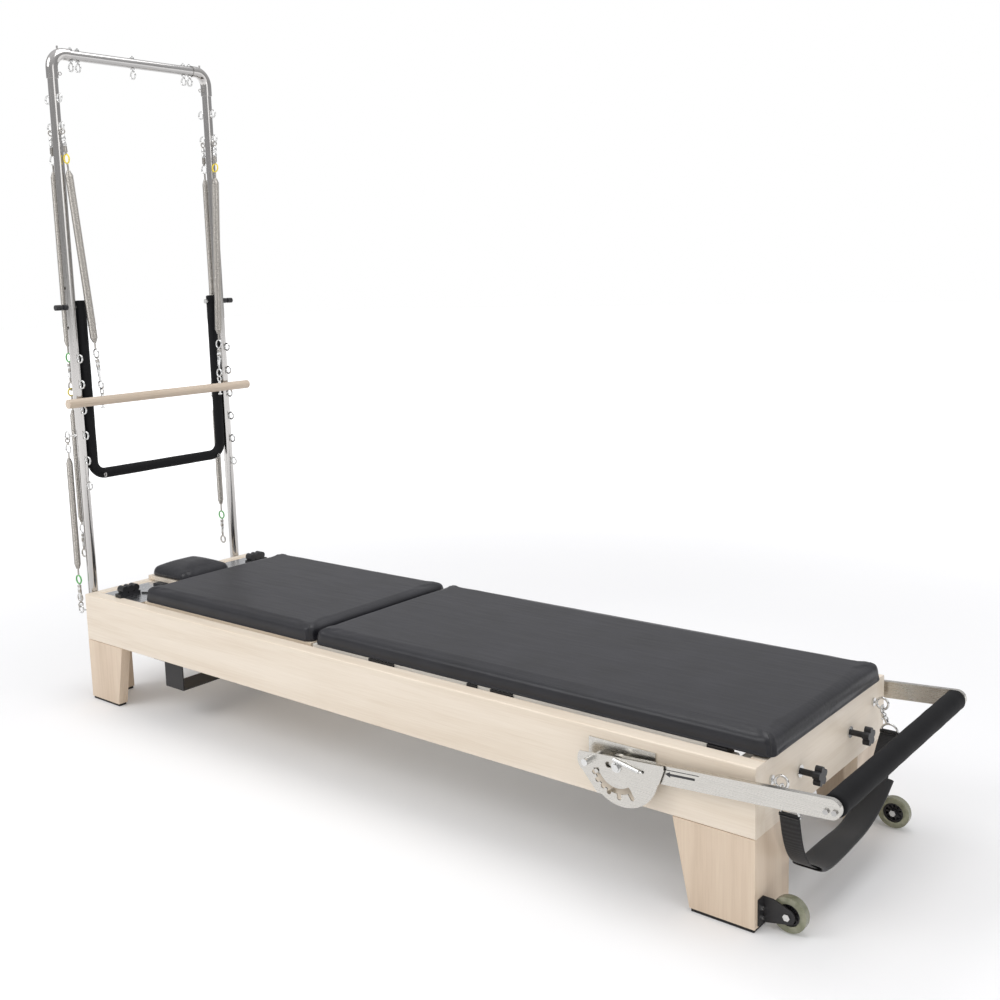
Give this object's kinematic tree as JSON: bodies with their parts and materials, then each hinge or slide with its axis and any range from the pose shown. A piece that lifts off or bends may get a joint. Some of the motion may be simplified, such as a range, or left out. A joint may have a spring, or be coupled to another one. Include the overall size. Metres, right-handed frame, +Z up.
{
  "type": "pilates reformer",
  "caption": "Long low maple exercise bed with a padded carriage and mat, a folding footbar, foot strap, transport wheels, and a steel tower with springs and bars at one end.",
  "frame": {"origin": "the middle of the bounding box on the floor", "axes": "+X from the tower end to the footbar end, +Y across towards the side away from the camera, +Z up"},
  "size_m": [2.6892, 0.806, 2.1295],
  "materials": {
    "maple": "satin clear lacquer on pale maple",
    "vinyl": "matt black upholstery vinyl with a fine grain",
    "polished_steel": "polished stainless steel tube",
    "steel_hardware": "bright stainless fittings",
    "spring_steel": "close-wound spring wire",
    "black_plastic": "black moulded plastic",
    "black_paint": "black powder coat",
    "rubber": "black rubber",
    "aluminium": "satin anodised",
    "webbing": "woven black webbing",
    "tyre": "translucent smoky polyurethane",
    "foam": "fine-grained black foam sleeve"
  },
  "bodies": {
    "frame": {"side_rail_near": "maple", "side_rail_far": "maple", "head_crossboard": "maple", "foot_crossboard": "maple", "head_deck": "maple", "deck_plate": "polished_steel", "leg_head_near": "maple", "leg_head_far": "maple", "leg_foot_near": "maple", "leg_foot_far": "maple", "foot_pads": "rubber", "carriage_tracks": "aluminium", "spring_bar": "polished_steel", "main_springs": "spring_steel", "storage_cradle": "black_paint", "rope_cleats": "black_plastic", "cleat_rope": "webbing", "tower_posts": "polished_steel", "tower_elbows": "polished_steel", "tower_crossbar": "polished_steel", "post_brackets": "polished_steel", "crossbar_eyebolts": "steel_hardware", "post_eyebolts": "steel_hardware", "frame_eyebolts": "steel_hardware", "pop_pins": "black_plastic", "tethered_spring": "spring_steel", "footbar_plate_near": "polished_steel", "footbar_plate_far": "polished_steel", "frame_hardware": "steel_hardware", "wheel_brackets": "black_paint"},
    "carriage": {"carriage_board": "maple", "carriage_pad": "vinyl", "carriage_wheels": "black_plastic", "carriage_axles": "polished_steel"},
    "headrest": {"headrest_board": "maple", "headrest_pad": "vinyl", "headrest_hinge": "polished_steel"},
    "mat": {"mat_board": "maple", "mat_pad": "vinyl", "mat_blocks": "black_plastic"},
    "footbar": {"footbar_arms": "polished_steel", "footbar_tube": "polished_steel", "footbar_grip": "foam"},
    "strap": {"strap_webbing": "webbing", "strap_sleeve": "webbing", "strap_rings": "steel_hardware"},
    "wheel_near": {"transport_wheel_near": "tyre"},
    "wheel_far": {"transport_wheel_far": "tyre"},
    "knob_near": {"stop_knob_near": "black_plastic"},
    "knob_far": {"stop_knob_far": "black_plastic"},
    "push_through": {"push_through_frame": "polished_steel", "push_through_grip": "foam"},
    "rolldown": {"rolldown_dowel": "maple", "rolldown_springs": "spring_steel"},
    "near_upper": {"spring_near_upper": "spring_steel"},
    "near_lower": {"spring_near_lower": "spring_steel"},
    "far_upper": {"spring_far_upper": "spring_steel"},
    "far_lower": {"spring_far_lower": "spring_steel"}
  },
  "joints": [
    {"name": "carriage_slide", "type": "slide", "parent": "frame", "child": "carriage", "axis": [1, 0, 0], "range_m": [-0.008, 0.003]},
    {"name": "headrest_tilt", "type": "hinge", "parent": "carriage", "child": "headrest", "pos_m": [-1.007, 0, 0.368], "axis": [0, 1, 0], "range_deg": [0, 30]},
    {"name": "mat_lift", "type": "slide", "parent": "frame", "child": "mat", "axis": [0, 0, 1], "range_m": [0, 0.12]},
    {"name": "footbar_hinge", "type": "hinge", "parent": "frame", "child": "footbar", "pos_m": [0.845, 0, 0.2965], "axis": [0, -1, 0], "range_deg": [0, 98]},
    {"name": "strap_swing", "type": "hinge", "parent": "frame", "child": "strap", "pos_m": [1.176, 0, 0.312], "axis": [0, -1, 0], "range_deg": [-4, 25]},
    {"name": "wheel_near_spin", "type": "hinge", "parent": "frame", "child": "wheel_near", "pos_m": [1.207, -0.294, 0.041], "axis": [0, 1, 0], "continuous": true},
    {"name": "wheel_far_spin", "type": "hinge", "parent": "frame", "child": "wheel_far", "pos_m": [1.207, 0.294, 0.041], "axis": [0, 1, 0], "continuous": true},
    {"name": "knob_near_turn", "type": "hinge", "parent": "frame", "child": "knob_near", "pos_m": [1.153, -0.137, 0.281], "axis": [1, 0, 0], "continuous": true},
    {"name": "knob_far_turn", "type": "hinge", "parent": "frame", "child": "knob_far", "pos_m": [1.153, 0.137, 0.281], "axis": [1, 0, 0], "continuous": true},
    {"name": "push_through_swing", "type": "hinge", "parent": "frame", "child": "push_through", "pos_m": [-1.267, 0, 1.308], "axis": [0, 1, 0], "range_deg": [0, 100]},
    {"name": "rolldown_swing", "type": "hinge", "parent": "frame", "child": "rolldown", "pos_m": [-1.237, 0, 1.877], "axis": [0, -1, 0], "range_deg": [0, 30]},
    {"name": "near_upper_swing", "type": "hinge", "parent": "frame", "child": "near_upper", "pos_m": [-1.304, -0.305, 1.877], "axis": [0, 1, 0], "range_deg": [0, 35]},
    {"name": "near_lower_swing", "type": "hinge", "parent": "near_upper", "child": "near_lower", "pos_m": [-1.304, -0.305, 1.049], "axis": [0, 1, 0], "range_deg": [0, 35]},
    {"name": "far_upper_swing", "type": "hinge", "parent": "frame", "child": "far_upper", "pos_m": [-1.304, 0.305, 1.877], "axis": [0, 1, 0], "range_deg": [0, 35]},
    {"name": "far_lower_swing", "type": "hinge", "parent": "frame", "child": "far_lower", "pos_m": [-1.329, 0.305, 1.005], "axis": [0, 1, 0], "range_deg": [0, 35]}
  ]
}
